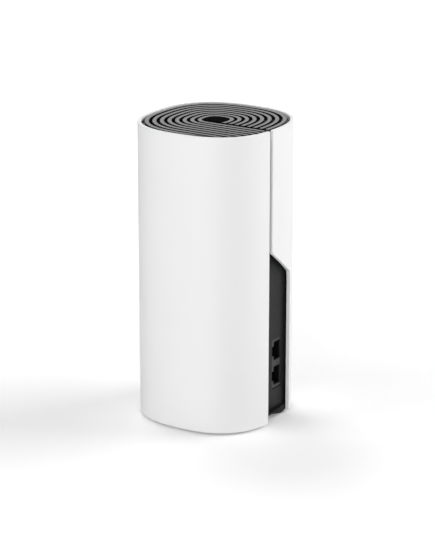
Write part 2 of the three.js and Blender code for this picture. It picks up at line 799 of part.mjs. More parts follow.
// Air enters through slots in the underside, between the label and the rim and between the rows of feet.
function baseVents() {
  const start = labelWidth / 2 + baseVentGap;
  const rows = Math.floor((baseHalf - rimWidth - ventWidth - start) / baseVentPitch) + 1;
  const reach = footPlace - footRadius - 2;
  const span = [baseBottom - over, baseTop + over];
  const slot = (x) => box([x - ventWidth / 2, x + ventWidth / 2], [-reach, reach], span);
  const offsets = Array.from({ length: rows }, (_, i) => start + baseVentPitch * i);
  return offsets.flatMap((x) => [slot(x), slot(-x)]);
}

// Under the rim, below the ports, a notch lets cables pass. It fades out towards the cut-out's far edge.
function cableNotch() {
  const roof = rimTop - notchRoof;
  return new THREE.Shape([
    new THREE.Vector2(slotLeft, 0),
    new THREE.Vector2(notchRight, 0),
    new THREE.Vector2(notchRight, baseBottom),
    new THREE.Vector2(notchRight - notchSlope, roof),
    new THREE.Vector2(slotLeft, roof),
  ]);
}

const boardCradle = cut(
  box(
    [boardBack - gap - railWall, boardFace + gap + railWall],
    [boardRear + jackDepth, boardFront - railDepth - gap],
    [baseTop - gap, cradleTop],
  ),
  boardSlot([boardLift - gap, height]),
);
const guideHeight = buttonFlangeHeight + buttonTravel + 2 * gap;
const guideRadius = buttonFlange + gap;
const buttonGuide = rod('z', guideRadius + guideWall, [buttonX, buttonY, baseTop - gap], guideHeight);
const guideBore = rod('z', guideRadius, [buttonX, buttonY, baseTop], height / 2);
const solidBase = union(
  prism(squircle(baseHalf, baseSegments), [baseBottom, baseTop]),
  ring(baseHalf, baseHalf - rimWidth, [baseTop - gap, rimTop], baseSegments),
  ...bossPlaces.map(([x, y]) => rod('z', bossRadius + padSpread, [x, y, baseTop - gap], rimHeight + gap)),
  boardCradle,
);
const baseSolid = cut(
  union(cut(solidBase, guideBore), cut(buttonGuide, guideBore, boardSlot([boardLift - gap, height]))),
  rod('z', buttonRadius + gap, [buttonX, buttonY, baseBottom - over], basePlate + 2 * over),
  ...baseVents(),
  ...bossPlaces.map(([x, y]) => screwHole(x, y, throughBase)),
  ...bossPlaces.map(([x, y]) => headHole(x, y, [baseBottom - over, headSeat])),
  ...footPlaces.map(([x, y]) => rod('z', footRadius + gap, [x, y, baseBottom - over], footRecess + over)),
  wallPrism(cableNotch(), [-farOut, -baseHalf + rimWidth]),
  box(
    [-labelWidth / 2 - gap, labelWidth / 2 + gap],
    [labelRear - gap, labelRear + labelLength + gap],
    [baseBottom - over, baseBottom + labelThickness],
  ),
);
place('base_plate', 'dark', baseSolid);

bossPlaces.forEach(([x, y], i) => {
  const end = baseBossTop - pilotFloor - screwBlindGap;
  place(`base_screw_${i + 1}`, 'steel', screw('z', [x, y, headSeat], end - headSeat));
});
footPlaces.forEach(([x, y], i) => {
  place(`rubber_foot_${i + 1}`, 'rubber', rod('z', footRadius, [x, y, 0], baseBottom + footRecess - gap / 2));
});
place('rating_label', 'label', box(
  [-labelWidth / 2, labelWidth / 2],
  [labelRear, labelRear + labelLength],
  [baseBottom - labelProud, baseBottom + labelThickness - labelBed],
));

// ---------------------------------------------------------------- reset button and its switch

place('reset_button', 'label', union(
  rod('z', buttonRadius, [buttonX, buttonY, buttonFace], flangeMiddle - buttonFace),
  rod('z', buttonFlange, [buttonX, buttonY, flangeFoot], buttonFlangeHeight),
  rod('z', buttonStalk, [buttonX, buttonY, flangeMiddle], stalkTop - flangeMiddle),
));
place('reset_switch', 'chip', cut(
  box(
    [boardFace + gap, boardFace + gap + switchLegs + switchSide],
    [buttonY - switchSide / 2, buttonY + switchSide / 2],
    [switchBottom, switchBottom + switchHeight],
  ),
  rod(
    'z',
    plungerRadius + plungerClearance,
    [buttonX, buttonY, switchBottom - over],
    over + plungerLength + buttonTravel,
  ),
));
place('switch_plunger', 'label', rod('z', plungerRadius, [buttonX, buttonY, plungerBottom], plungerLength));

export default node;
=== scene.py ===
"""Mesh wifi node: the finished surfaces of a rounded-square tower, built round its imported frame."""

import json
import math

import bmesh
import bpy
from bmesh.types import BMEdge, BMFace, BMVert
from bpy.props import FloatProperty, FloatVectorProperty, IntProperty, PointerProperty
from bpy.types import Operator, Panel, PropertyGroup
from mathutils import Matrix, Vector


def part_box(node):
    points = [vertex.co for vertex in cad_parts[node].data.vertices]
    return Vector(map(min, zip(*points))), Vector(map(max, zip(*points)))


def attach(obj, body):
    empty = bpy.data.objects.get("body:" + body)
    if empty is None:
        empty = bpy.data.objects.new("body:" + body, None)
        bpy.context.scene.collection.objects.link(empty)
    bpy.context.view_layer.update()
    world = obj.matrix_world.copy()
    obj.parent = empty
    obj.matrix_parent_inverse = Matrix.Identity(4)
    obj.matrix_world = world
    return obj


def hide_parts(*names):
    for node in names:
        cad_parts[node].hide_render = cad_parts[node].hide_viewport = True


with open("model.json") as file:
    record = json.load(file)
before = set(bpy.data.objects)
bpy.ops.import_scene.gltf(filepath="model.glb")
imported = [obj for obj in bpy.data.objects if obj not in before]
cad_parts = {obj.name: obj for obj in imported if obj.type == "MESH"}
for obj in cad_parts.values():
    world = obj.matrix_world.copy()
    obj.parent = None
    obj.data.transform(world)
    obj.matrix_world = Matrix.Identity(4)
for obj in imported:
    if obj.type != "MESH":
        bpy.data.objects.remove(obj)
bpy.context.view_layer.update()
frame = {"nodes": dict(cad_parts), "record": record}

bl_info = {
    "name": "Mesh Wifi Node",
    "version": (1, 0, 0),
    "blender": (4, 5, 0),
    "location": "View3D > Sidebar > Mesh Node",
    "description": "Builds the finished surfaces of a mesh wifi node round its packed frame",
    "category": "Add Mesh",
}

MM = 0.001
MERGE = 0.00002  # nearer than this, in metres, two points are one
ON_PLANE = MERGE / 10  # a corner this near a cut lies on it
SLIVER = 5 * MERGE  # edges shorter than this are closed up once the shell is carved
SQUARENESS = 2.5  # superellipse exponent of every plan outline
BEVELLED_ANGLE = math.radians(40)  # the shell's edges sharper than this are rounded

# Shares of the size that each belongs to.
HOLE_FIELD = 1.4  # half-side of the square of cuts round a hole, of the hole's radius
TIP_ROUNDING = 0.49  # of a rib's width: just short of a half-circle
FIRST_SPOKE = 0.25  # where the first arm stands, of the step from arm to arm
WIRE_ROUNDING = 0.4  # of a contact wire's thickness
PIN_TIP_RADIUS, PIN_TIP_LENGTH = 0.6, 0.5  # of the inlet pin's radius
FOOT_RING = 0.55  # of a foot's radius
DISH_POINTS = ((0.45, 0.7), (0.8, 0))  # of the button cap's radius, and of its dish's depth
PLUNGER_ROUNDING = 0.2  # of the plunger's radius

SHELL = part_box("outer_shell")
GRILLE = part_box("top_grille")
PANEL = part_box("rear_panel")
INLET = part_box("dc_jack")
INLET_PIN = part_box("dc_jack_pin")
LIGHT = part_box("led_light_pipe")
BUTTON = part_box("reset_button")
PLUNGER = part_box("switch_plunger")
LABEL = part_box("rating_label")
SOCKETS = {level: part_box(f"rj45_jack_{level}") for level in ("upper", "lower")}
FOOT_COUNT = 4

AIM_HEIGHT = 0.1  # height in metres of the point on the node's axis that the lights face
RIB_LIGHT = "rib_light"  # the only light that shows in reflections, along the ribs' tops
# Each light's name, turn and rise in degrees, side in metres and watts.
SOFTBOXES = (
    ("right_light", 45, 25, 1.2, 26.6),
    ("left_light", -90, 15, 1.2, 10.8),
    ("near_light", -60, 20, 1.2, 9.4),
    ("low_light", -35, 8, 1.2, 1.6),
    (RIB_LIGHT, 123, 18, 1.2, 1.5),
    ("high_back_light", 150, 62, 0.6, 9.0),
    ("high_left_light", -130, 50, 0.6, 6.0),
)


# ---------------- settings


def length(name, description, millimetres):
    """A size that a user can change, given in millimetres."""
    return FloatProperty(
        name=name, description=description, default=millimetres * MM, min=0, precision=5,
        subtype="DISTANCE", unit="LENGTH",
    )


def offset(name, description, millimetres):
    """A place along an axis, on either side of the middle."""
    return FloatProperty(
        name=name, description=description, default=millimetres * MM, precision=5,
        subtype="DISTANCE", unit="LENGTH",
    )


def angle(name, description, degrees):
    return FloatProperty(
        name=name, description=description, default=math.radians(degrees),
        subtype="ANGLE", unit="ROTATION",
    )


def count(name, description, number):
    return IntProperty(name=name, description=description, default=number, min=1)


def share(name, description, value):
    return FloatProperty(name=name, description=description, default=value, min=0, max=1)


def colour(name, description, value):
    """A colour in linear light."""
    return FloatVectorProperty(
        name=name, description=description, default=value, size=3, min=0, max=1, subtype="COLOR",
    )


class ShellSizes(PropertyGroup):
    segments: count("Outline Segments", "Facets round the shell", 288)
    wall: length("Wall", "Thickness of the shell", 2.35)
    slot_left: offset("Slot Left", "The shell's plain end", -9)
    slot_right: offset("Slot Right", "The shell's end with the cut-out", -6)
    slot_corner: length("Slot Corner", "Radius at the top of the slot", 2)
    recess_top: length("Cut-out Top", "Height where the cut-out leaves the slot", 112.4)
    recess_right: length("Cut-out Side", "The cut-out's upright side", 18.2)
    recess_fall: angle("Cut-out Fall", "Slope of the cut-out's upper edge", 37.4)
    recess_corner: length("Cut-out Corner", "Radius between the slope and the upright side", 10)
    recess_tip: length("Cut-out Tip", "Radius where the cut-out meets the slot", 3)
    rounding: length("Edge Rounding", "Radius along the shell's edges", 0.35)
    light_gap: length("Light Gap", "Clearance round the light pipe", 0.3)


class GrilleSizes(PropertyGroup):
    segments: count("Outline Segments", "Facets round each rib", 160)
    rib_count: count("Ribs", "Number of nested ribs", 8)
    rib_width: length("Rib Width", "Width of a rib", 2.25)
    rib_pitch: length("Rib Pitch", "Distance from rib to rib", 4.36)
    rib_first: length("First Rib", "Half-width of the innermost rib's centre line", 9.35)
    rib_height: length("Rib Height", "Depth of a rib", 2.8)
    rim_gap: length("Rim Gap", "Bars stop this far inside the carrier ring", 1.5)
    rounding: length("Rounding", "Radius along the ribs' upper edges", 0.12)
    spoke_count: count("Spokes", "Arms under the ribs", 6)
    spoke_width: length("Spoke Width", "Width of an arm", 2)
    ring_width: length("Ring Width", "Width of the carrier ring", 2)
    spoke_overlap: length("Spoke Overlap", "How far the arms reach up into the ribs", 0.3)


class PanelSizes(PropertyGroup):
    lip: length("Lip", "Thickness of the panel round the socket window", 0.2)
    window_side: length("Window Side", "Window beyond the ports, across", 0.6)
    window_end: length("Window End", "Window beyond the ports, upward", 2.2)
    pocket_gap: length("Pocket Gap", "Clearance round the sockets behind the window", 0.3)
    bevel: length("Window Bevel", "Chamfer round the window", 0.16)
    inlet_hole: length("Inlet Hole", "Radius of the power inlet's hole", 3.5)
    inlet_segments: count("Hole Segments", "Facets round the hole", 40)


class SocketSizes(PropertyGroup):
    latch: length("Latch Edge", "Where the latch slot starts", 4.4)
    step: length("Latch Step", "Depth of the latch slot", 2.3)
    body: length("Port Height", "Height of the port without its latch slot", 7.3)
    width: length("Port Width", "Width of the port", 12.1)
    latch_width: length("Latch Width", "Width of the latch slot", 6.4)
    depth: length("Port Depth", "Depth of the port", 14)
    bevel: length("Port Bevel", "Chamfer round the port's mouth", 0.2)
    seam: length("Seam", "Hairline between the two sockets", 0.06)
    # painted shade: the ports' walls darken from the charcoal face to black over this depth
    port_shade_depth: length("Face Depth", "How far into the ports the grey of their face reaches", 1.0)
    contact_count: count("Contacts", "Spring wires in each port", 8)
    contact_pitch: length("Contact Pitch", "Distance from wire to wire", 1.02)
    contact_width: length("Contact Width", "Width of a wire", 0.45)
    contact_setback: length("Contact Setback", "Wires start this far behind the socket's face", 4)
    contact_droop: length("Contact Droop", "How far a wire's inner end stands into the port", 1.9)


class InletSizes(PropertyGroup):
    bore: length("Bore", "Radius of the power inlet's bore", 2.85)
    bore_depth: length("Bore Depth", "Depth of the power inlet's bore", 9.5)
    segments: count("Segments", "Facets round the bore", 40)
    rounding: length("Rounding", "Radius along the block's edges", 0.3)


class BaseSizes(PropertyGroup):
    segments: count("Segments", "Facets round feet and button", 48)
    foot_rounding: length("Foot Rounding", "Radius at a foot's lower edge", 0.4)
    foot_groove: length("Foot Groove", "Width of the ring pressed into a foot", 0.5)
    label_corner: length("Label Corner", "Radius of the label's corners", 1.5)
    button_radius: length("Button Radius", "Radius of the button's cap", 1.8)
    button_collar: length("Collar Height", "The button's collar above the node's underside", 2.8)
    button_flange: length("Button Flange", "Thickness of the button's collar", 1.8)
    button_stalk: length("Button Stalk", "Radius of the button's stalk", 1.2)
    button_dish: length("Button Dish", "How far the cap's face is dished", 0.25)


class Finishes(PropertyGroup):
    shell: colour("Shell", "Satin white plastic", (0.87, 0.87, 0.87))
    grille: colour("Grille", "Glossy black plastic", (0.006, 0.006, 0.0063))
    panel: colour("Panel", "Fine-grained charcoal plastic", (0.017, 0.0172, 0.0178))
    core: colour("Core", "Textured dark plastic", (0.008, 0.008, 0.0085))
    # the ports are painted from the charcoal socket face to this black deeper in: painted shade in the ports
    socket: colour("Sockets", "Black glass-filled plastic", (0.005, 0.005, 0.0053))
    socket_face: colour("Socket Face", "Charcoal face of the sockets", (0.04, 0.0403, 0.041))
    rubber: colour("Rubber", "Feet", (0.02, 0.02, 0.02))
    label: colour("Label", "Bare matt film", (0.8, 0.8, 0.78))
    button: colour("Button", "Pale plastic", (0.62, 0.62, 0.6))
    mesh: colour("Dust Mesh", "Woven black mesh", (0.002, 0.002, 0.002))
    board: colour("Board", "Green solder mask", (0.012, 0.085, 0.04))
    copper: colour("Traces", "Copper under the solder mask", (0.03, 0.2, 0.08))
    chip: colour("Chips", "Moulded chip plastic", (0.012, 0.012, 0.013))
    tin: colour("Shields", "Tinned steel", (0.55, 0.56, 0.57))
    aluminium: colour("Heat Sink", "Extruded aluminium", (0.42, 0.43, 0.45))
    steel: colour("Screws", "Plated steel", (0.35, 0.36, 0.37))
    gold: colour("Contacts", "Gold plate", (0.78, 0.52, 0.17))
    pad: colour("Thermal Pads", "Soft grey-blue silicone", (0.27, 0.37, 0.46))
    clear: colour("Light Pipe", "Clear plastic", (0.9, 0.93, 0.94))
    ferrite: colour("Inductor", "Ground ferrite", (0.04, 0.04, 0.043))
    sleeve: colour("Sleeves", "Dark jacket", (0.028, 0.033, 0.043))


class StageSizes(PropertyGroup):
    view_turn: angle("View Turn", "Camera's place round the node", -57)
    view_rise: angle("View Rise", "Camera's place above the table", 17.58)
    view_distance: length("View Distance", "From the camera to the node", 1365)
    view_x: offset("View X", "Point that the camera looks at", 3.2)
    view_y: offset("View Y", "Point that the camera looks at", 0.9)
    view_z: offset("View Z", "Point that the camera looks at", 92.6)
    lens: FloatProperty(name="Lens", description="Focal length of the camera", default=145.3, min=1)
    floor_size: length("Floor", "Side of the floor", 9000)
    floor_colour: colour("Floor Colour", "Pale floor", (0.9, 0.9, 0.9))
    glow_near: share("Glow Near", "What the camera sees over the floor's own light beside the node", 0.19)
    glow_far: share("Glow Far", "The same, well away from the node", 1)
    glow_start: length("Glow Start", "Distance from the node at which the glow starts to grow", 110)
    glow_end: length("Glow End", "Distance from the node at which it is full", 1200)
    light_distance: length("Light Distance", "From the middle of the node to each light", 1800)


# ---------------- shapes


def outline_reach(half, across):
    """How far a plan outline reaches at a given distance from the other axis."""
    return half * (1 - min(1, abs(across) / half) ** SQUARENESS) ** (1 / SQUARENESS)


def outline_share(x, y, half=1):
    """A point's place against a plan outline: 1 on it, less inside it and more outside it."""
    return (abs(x / half) ** SQUARENESS + abs(y / half) ** SQUARENESS) ** (1 / SQUARENESS)


def unique(items):
    """The items once each, in the order given."""
    return list(dict.fromkeys(items))


def plan_ring(bm, half, z, segments):
    """A closed loop of edges along a plan outline with the given half-width."""
    verts = bmesh.ops.create_circle(bm, segments=segments, radius=half)["verts"]
    for vert in verts:
        spread = outline_share(vert.co.x, vert.co.y, half)
        vert.co = Vector((vert.co.x / spread, vert.co.y / spread, z))
    return unique(edge for vert in verts for edge in vert.link_edges)


def arc(centre, radius, start, end, steps):
    """Points of an arc in two coordinates, with its angles in radians."""
    turns = [start + (end - start) * i / steps for i in range(steps + 1)]
    return [(centre[0] + radius * math.cos(t), centre[1] + radius * math.sin(t)) for t in turns]


def lower_rim(radius, rounding):
    """The rounded lower rim of a turned piece, in radius and height."""
    return arc((radius - rounding, rounding), rounding, -math.pi / 2, 0, steps=4)


def lower_middle(low, high):
    """The middle of a box's lower face."""
    return Vector(((low.x + high.x) / 2, (low.y + high.y) / 2, low.z))


def rear_middle(low, high):
    """The middle of a box's face on the side of the ports, -Y."""
    return Vector(((low.x + high.x) / 2, low.y, (low.z + high.z) / 2))


def direction(turn, rise):
    """The way from the node to a place round it, by angles in radians. Turn 0 is on the side of the ports."""
    return Vector((math.sin(turn) * math.cos(rise), -math.cos(turn) * math.cos(rise), math.sin(rise)))


def only(kind, geom):
    """The items of one kind among those that a bmesh operator gives back."""
    return [item for item in geom if isinstance(item, kind)]


def put_in_order(bm, grid=0.001 * MM):
    """Sorts the corners by place, because operators leave them in an order that changes from run to run."""
    ordered = sorted(bm.verts, key=lambda vert: tuple(round(place / grid) for place in vert.co.zxy))
    for index, vert in enumerate(ordered):
        vert.index = index
    bm.verts.sort()


def face_outward(bm):
    bmesh.ops.recalc_face_normals(bm, faces=bm.faces[:])


def with_parts(faces):
    """The faces with their edges and corners, as bmesh operators want them."""
    edges = unique(edge for face in faces for edge in face.edges)
    verts = unique(vert for face in faces for vert in face.verts)
    return [*faces, *edges, *verts]


def raise_faces(bm, faces, shift):
    """Extrudes faces as one region and returns the moved ones."""
    raised = bmesh.ops.extrude_face_region(bm, geom=with_parts(faces))["geom"]
    bmesh.ops.translate(bm, verts=only(BMVert, raised), vec=shift)
    return only(BMFace, raised)


def raise_edges(bm, edges, shift):
    """Extrudes edges into walls and returns the walls' faces, far edges and corners."""
    raised = bmesh.ops.extrude_edge_only(bm, edges=edges)["geom"]
    bmesh.ops.translate(bm, verts=only(BMVert, raised), vec=shift)
    return raised


def round_edges(bm, edges, radius, segments=2):
    bmesh.ops.bevel(
        bm, geom=edges, offset=radius, offset_type="OFFSET", segments=segments, profile=0.5,
        affect="EDGES", clamp_overlap=True, material=-1,
    )


def block(bm, low, high):
    """A box from its lowest to its highest corner."""
    low, high = Vector(low), Vector(high)
    verts = bmesh.ops.create_cube(bm, size=1)["verts"]
    bmesh.ops.scale(bm, vec=high - low, verts=verts)
    bmesh.ops.translate(bm, vec=(low + high) / 2, verts=verts)
    return verts


def sheet(bm, y, low, high):
    """One upright face between two corners given in X and Z."""
    (x0, z0), (x1, z1) = low, high
    bm.faces.new([bm.verts.new((x, y, z)) for x, z in ((x0, z0), (x1, z0), (x1, z1), (x0, z1))])


def turned(profile, centre, segments, axis="Z"):
    """A round piece: a profile of radius and height, spun round an upright axis or one along Y."""
    bm = bmesh.new()
    verts = [bm.verts.new((radius, 0, height)) for radius, height in profile]
    edges = [bm.edges.new(pair) for pair in zip(verts, verts[1:])]
    bmesh.ops.spin(
        bm, geom=[*verts, *edges], cent=(0, 0, 0), axis=(0, 0, 1), angle=2 * math.pi,
        steps=segments, use_merge=True,
    )
    bmesh.ops.remove_doubles(bm, verts=bm.verts[:], dist=MERGE)
    if axis == "Y":
        tipped = Matrix.Rotation(-math.pi / 2, 3, "X")
        bmesh.ops.rotate(bm, verts=bm.verts[:], cent=(0, 0, 0), matrix=tipped)
    bmesh.ops.translate(bm, verts=bm.verts[:], vec=centre)
    return bm


def cut_line(bm, point, normal, keep=lambda face: True):
    """Cuts the faces that keep(face) accepts with the plane through a point."""
    faces = [face for face in bm.faces if keep(face)]
    bmesh.ops.bisect_plane(bm, geom=with_parts(faces), dist=ON_PLANE, plane_co=point, plane_no=normal)


def rims(bm, axis, level, lean=0.5):
    """The edges at one level of an axis (0, 1 or 2) that border a face lying mostly along that axis."""
    return [
        edge for edge in bm.edges
        if all(abs(vert.co[axis] - level) < MERGE for vert in edge.verts)
        and any(abs(face.normal[axis]) < lean for face in edge.link_faces)
    ]


def in_outline(outline, x, z):
    """Whether a point lies in an outline: a line from it crosses the outline an odd number of times."""
    crossings = 0
    for (x0, z0), (x1, z1) in zip(outline, outline[1:] + outline[:1]):
        if (z0 > z) != (z1 > z) and x < x0 + (z - z0) * (x1 - x0) / (z1 - z0):
            crossings += 1
    return crossings % 2 == 1


def carve(bm, outline, side):
    """Takes an outline drawn in X and Z out of the sheet on its front (1) or back (-1)."""
    for (x0, z0), (x1, z1) in zip(outline, outline[1:] + outline[:1]):
        def near(face):
            xs = [vert.co.x for vert in face.verts]
            zs = [vert.co.z for vert in face.verts]
            return (
                face.calc_center_median().y * side > 0
                and min(xs) < max(x0, x1) + MERGE and max(xs) > min(x0, x1) - MERGE
                and min(zs) < max(z0, z1) + MERGE and max(zs) > min(z0, z1) - MERGE
            )
        cut_line(bm, (x0, 0, z0), (z1 - z0, 0, x0 - x1), near)
    middles = {face: face.calc_center_median() for face in bm.faces}
    inner = [
        face for face, middle in middles.items()
        if middle.y * side > 0 and in_outline(outline, middle.x, middle.z)
    ]
    bmesh.ops.delete(bm, geom=inner, context="FACES")


def piece_of(bm, name, smooth_angle=35, clean=True):
    """Makes a bmesh an object at the origin, with its faces pointing out and its sharp edges marked."""
    if clean:
        face_outward(bm)
    mesh = bpy.data.meshes.new(name)
    bm.to_mesh(mesh)
    bm.free()
    mesh.shade_smooth()
    if smooth_angle:
        mesh.set_sharp_from_angle(angle=math.radians(smooth_angle))
    piece = bpy.data.objects.new(name, mesh)
    bpy.context.scene.collection.objects.link(piece)
    return piece


def settle(piece, slot, *nodes, body="node", flat=True):
    """Gives a piece its finish and its body, hides the CAD nodes that it stands in for, and evens the shading
    of its flat faces.
    """
    if flat:
        modifier = piece.modifiers.new("Weighted Normals", "WEIGHTED_NORMAL")
        modifier.keep_sharp = True
    piece.data.materials.append(finish(slot))
    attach(piece, body)
    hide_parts(*nodes)


# ---------------- finishes


def plain_material(name, base, roughness, metallic=0.0):
    material = bpy.data.materials.get(name)
    if material:
        bpy.data.materials.remove(material)
    material = bpy.data.materials.new(name)
    material.use_nodes = True
    shader = material.node_tree.nodes["Principled BSDF"]
    shader.inputs["Base Color"].default_value = (*base, 1)
    shader.inputs["Roughness"].default_value = roughness
    shader.inputs["Metallic"].default_value = metallic
    return material, shader


def add_node(tree, kind, inputs=None, **settings):
    """Adds a shader node. Each input is given a value, or another node's output to link it to."""
    node = tree.nodes.new(f"ShaderNode{kind}")
    for key, value in settings.items():
        setattr(node, key, value)
    for key, value in (inputs or {}).items():
        if isinstance(value, bpy.types.NodeSocket):
            tree.links.new(value, node.inputs[key])
        else:
            node.inputs[key].default_value = value
    return node


def object_place(material):
    """Where a point lies on its object."""
    return add_node(material.node_tree, "TexCoord").outputs["Object"]


def object_noise(material, grain, detail=3, stretch=(1, 1, 1)):
    """Noise with a grain of the given size in metres, fixed to the object."""
    tree = material.node_tree
    place = add_node(tree, "Mapping", {"Vector": object_place(material), "Scale": stretch}).outputs["Vector"]
    return add_node(tree, "TexNoise", {"Vector": place, "Scale": 1 / grain, "Detail": detail}).outputs["Fac"]


def vary_colour(material, shader, factor, base, other):
    """The base colour drifts between two colours with a pattern."""
    tree = material.node_tree
    mix = add_node(tree, "Mix", {"A": (*base, 1), "B": (*other, 1), "Factor": factor}, data_type="RGBA")
    tree.links.new(mix.outputs["Result"], shader.inputs["Base Color"])


def vary_roughness(material, shader, factor, low, high):
    tree = material.node_tree
    spread = add_node(tree, "MapRange", {"Value": factor, "To Min": low, "To Max": high})
    tree.links.new(spread.outputs["Result"], shader.inputs["Roughness"])


def add_bump(material, shader, factor, depth):
    """Raises the surface by up to depth metres with a pattern."""
    tree = material.node_tree
    bump = add_node(tree, "Bump", {"Height": factor, "Strength": 1, "Distance": depth})
    tree.links.new(bump.outputs["Normal"], shader.inputs["Normal"])


def shade(base, amount):
    return tuple(channel * amount for channel in base)


def moulded_plastic(name, base, roughness, grain=0.35 * MM, depth=0.01 * MM, drift=0.94, inputs=None):
    """Injection-moulded plastic: a spark-eroded grain, and a faint drift in shade and gloss."""
    clouds, smudges = 18 * MM, 3 * MM
    material, shader = plain_material(name, base, roughness)
    for key, value in (inputs or {}).items():
        shader.inputs[key].default_value = value
    vary_colour(material, shader, object_noise(material, clouds, 2), base, shade(base, drift))
    vary_roughness(material, shader, object_noise(material, smudges), roughness * 0.88, roughness * 1.12)
    add_bump(material, shader, object_noise(material, grain, 4), depth)
    return material


def satin_shell(finishes):
    """Satin white plastic with a barely visible grain."""
    return moulded_plastic(
        "satin_white_plastic", finishes.shell, 0.42, grain=0.3 * MM, depth=0.004 * MM, drift=0.985,
        inputs={"IOR": 1.49},
    )


def gloss_black(finishes):
    """Glossy black plastic that shows the light along the ribs' tops."""
    return moulded_plastic(
        "gloss_black_plastic", finishes.grille, 0.32, grain=0.6 * MM, depth=0.002 * MM, drift=0.8,
        inputs={"IOR": 1.5, "Specular IOR Level": 0.6},
    )


def socket_plastic(finishes, face, depth):
    """Black plastic whose front face is charcoal, with painted shade in the ports: the colour darkens to
    black with the distance behind the face.
    """
    material = moulded_plastic(
        "black_socket_plastic_painted_shade", finishes.socket, 0.45, depth=0.008 * MM, inputs={"Specular IOR Level": 0.35},
    )
    tree = material.node_tree
    place = add_node(tree, "SeparateXYZ", {"Vector": object_place(material)}).outputs["Y"]
    # painted shade: the port walls darken with the distance behind the socket's face
    port_shade = add_node(tree, "MapRange", {"Value": place, "From Min": face, "From Max": face + depth})
    shader = tree.nodes["Principled BSDF"]
    vary_colour(material, shader, port_shade.outputs["Result"], finishes.socket_face, finishes.socket)
    return material


def brushed_metal(name, base, roughness, stretch):
    """Metal with fine lines drawn along one axis."""
    material, shader = plain_material(name, base, roughness, metallic=1.0)
    lines = object_noise(material, 0.5 * MM, 4, stretch)
    vary_colour(material, shader, object_noise(material, 8 * MM, 2), base, shade(base, 0.85))
    vary_roughness(material, shader, lines, roughness * 0.75, roughness * 1.3)
    add_bump(material, shader, lines, 0.004 * MM)
    return material


def circuit_board(finishes):
    """Solder mask over stepped copper traces."""
    trace_pitch, bare_share = 2.2 * MM, 0.62
    material, shader = plain_material("circuit_board", finishes.board, 0.4)
    tree = material.node_tree
    cells = add_node(
        tree, "TexVoronoi", {"Vector": object_place(material), "Scale": 1 / trace_pitch},
        distance="MANHATTAN", feature="F2",
    )
    steps = add_node(tree, "ValToRGB", {"Fac": cells.outputs["Distance"]})
    steps.color_ramp.interpolation = "CONSTANT"
    steps.color_ramp.elements[0].position = 0.0
    steps.color_ramp.elements[1].position = bare_share
    vary_colour(material, shader, steps.outputs["Color"], finishes.board, finishes.copper)
    add_bump(material, shader, steps.outputs["Color"], 0.03 * MM)
    return material


def woven_mesh(finishes):
    """Fine black weave: two sets of threads cross at right angles."""
    material, shader = plain_material("woven_black_mesh", finishes.mesh, 0.85)
    tree, place = material.node_tree, object_place(material)
    crossed = add_node(tree, "Math", operation="MULTIPLY")
    for index, axis in enumerate(("X", "Y")):
        threads = add_node(tree, "TexWave", {"Vector": place, "Scale": 1 / (3 * MM)}, bands_direction=axis)
        tree.links.new(threads.outputs["Fac"], crossed.inputs[index])
    vary_colour(material, shader, crossed.outputs["Value"], finishes.mesh, shade(finishes.mesh, 2.5))
    add_bump(material, shader, crossed.outputs["Value"], 0.1 * MM)
    return material


def clear_plastic(finishes):
    """Moulded clear plastic, slightly clouded."""
    material, shader = plain_material("clear_plastic", finishes.clear, 0.2)
    shader.inputs["Transmission Weight"].default_value = 0.7
    shader.inputs["IOR"].default_value = 1.49
    clouds = object_noise(material, 2 * MM)
    vary_colour(material, shader, clouds, finishes.clear, shade(finishes.clear, 0.93))
    vary_roughness(material, shader, object_noise(material, 0.8 * MM), 0.12, 0.3)
    return material


def make_finishes(finishes, sockets):
    """Every finish by the name of its slot in the record."""
    plastic, metal = moulded_plastic, brushed_metal
    dull = {"Specular IOR Level": 0.2}
    return {
        "shell": satin_shell(finishes),
        "grille": gloss_black(finishes),
        "dark_plastic": plastic("textured_dark_plastic", finishes.core, 0.65, depth=0.02 * MM, inputs=dull),
        "panel_plastic": plastic("charcoal_plastic", finishes.panel, 0.5, depth=0.012 * MM, inputs=dull),
        # the sockets' finish carries painted shade in their ports
        "socket_plastic": socket_plastic(finishes, SOCKETS["upper"][0].y, sockets.port_shade_depth),
        "mesh_fabric": woven_mesh(finishes),
        "rubber": plastic("foot_rubber", finishes.rubber, 0.9, grain=0.6 * MM, depth=0.03 * MM),
        "label_film": plastic("bare_label_film", finishes.label, 0.6, grain=0.2 * MM, depth=0.003 * MM),
        "button_plastic": plastic("pale_button_plastic", finishes.button, 0.5),
        "circuit_board": circuit_board(finishes),
        "chip_plastic": plastic("chip_plastic", finishes.chip, 0.55, grain=0.2 * MM, depth=0.012 * MM),
        "shield_tin": metal("tinned_steel", finishes.tin, 0.3, (1, 0.04, 1)),
        "aluminium": metal("extruded_aluminium", finishes.aluminium, 0.4, (1, 1, 0.04)),
        "screw_steel": metal("plated_steel", finishes.steel, 0.35, (1, 1, 0.2)),
        "contact_metal": metal("gold_plate", finishes.gold, 0.25, (1, 0.1, 1)),
        "thermal_pad": plastic("silicone_pad", finishes.pad, 0.9, grain=0.8 * MM, depth=0.05 * MM),
        "clear_plastic": clear_plastic(finishes),
        "ferrite": plastic("ground_ferrite", finishes.ferrite, 0.8, grain=0.5 * MM, depth=0.04 * MM),
        "sleeve": plastic("dark_jacket", finishes.sleeve, 0.5, grain=0.4 * MM, depth=0.01 * MM),
    }


def finish(slot):
    """The finish of a slot, made once for the scene."""
    return bpy.data.materials[bpy.context.scene["node_finishes"][slot]]


# ---------------- operators


class NODE_OT_mix_finishes(Operator):
    """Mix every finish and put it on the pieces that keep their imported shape"""

    bl_idname = "mesh_node.mix_finishes"
    bl_label = "Mix Finishes"

    def execute(self, context):
        made = make_finishes(context.scene.node_colours, context.scene.node_sockets)
        context.scene["node_finishes"] = {slot: material.name for slot, material in made.items()}
        for part in frame["record"]["subparts"]:
            mesh = frame["nodes"][part["node"]].data
            mesh.materials.clear()
            mesh.materials.append(made[part["material_slot"]])
        return {"FINISHED"}


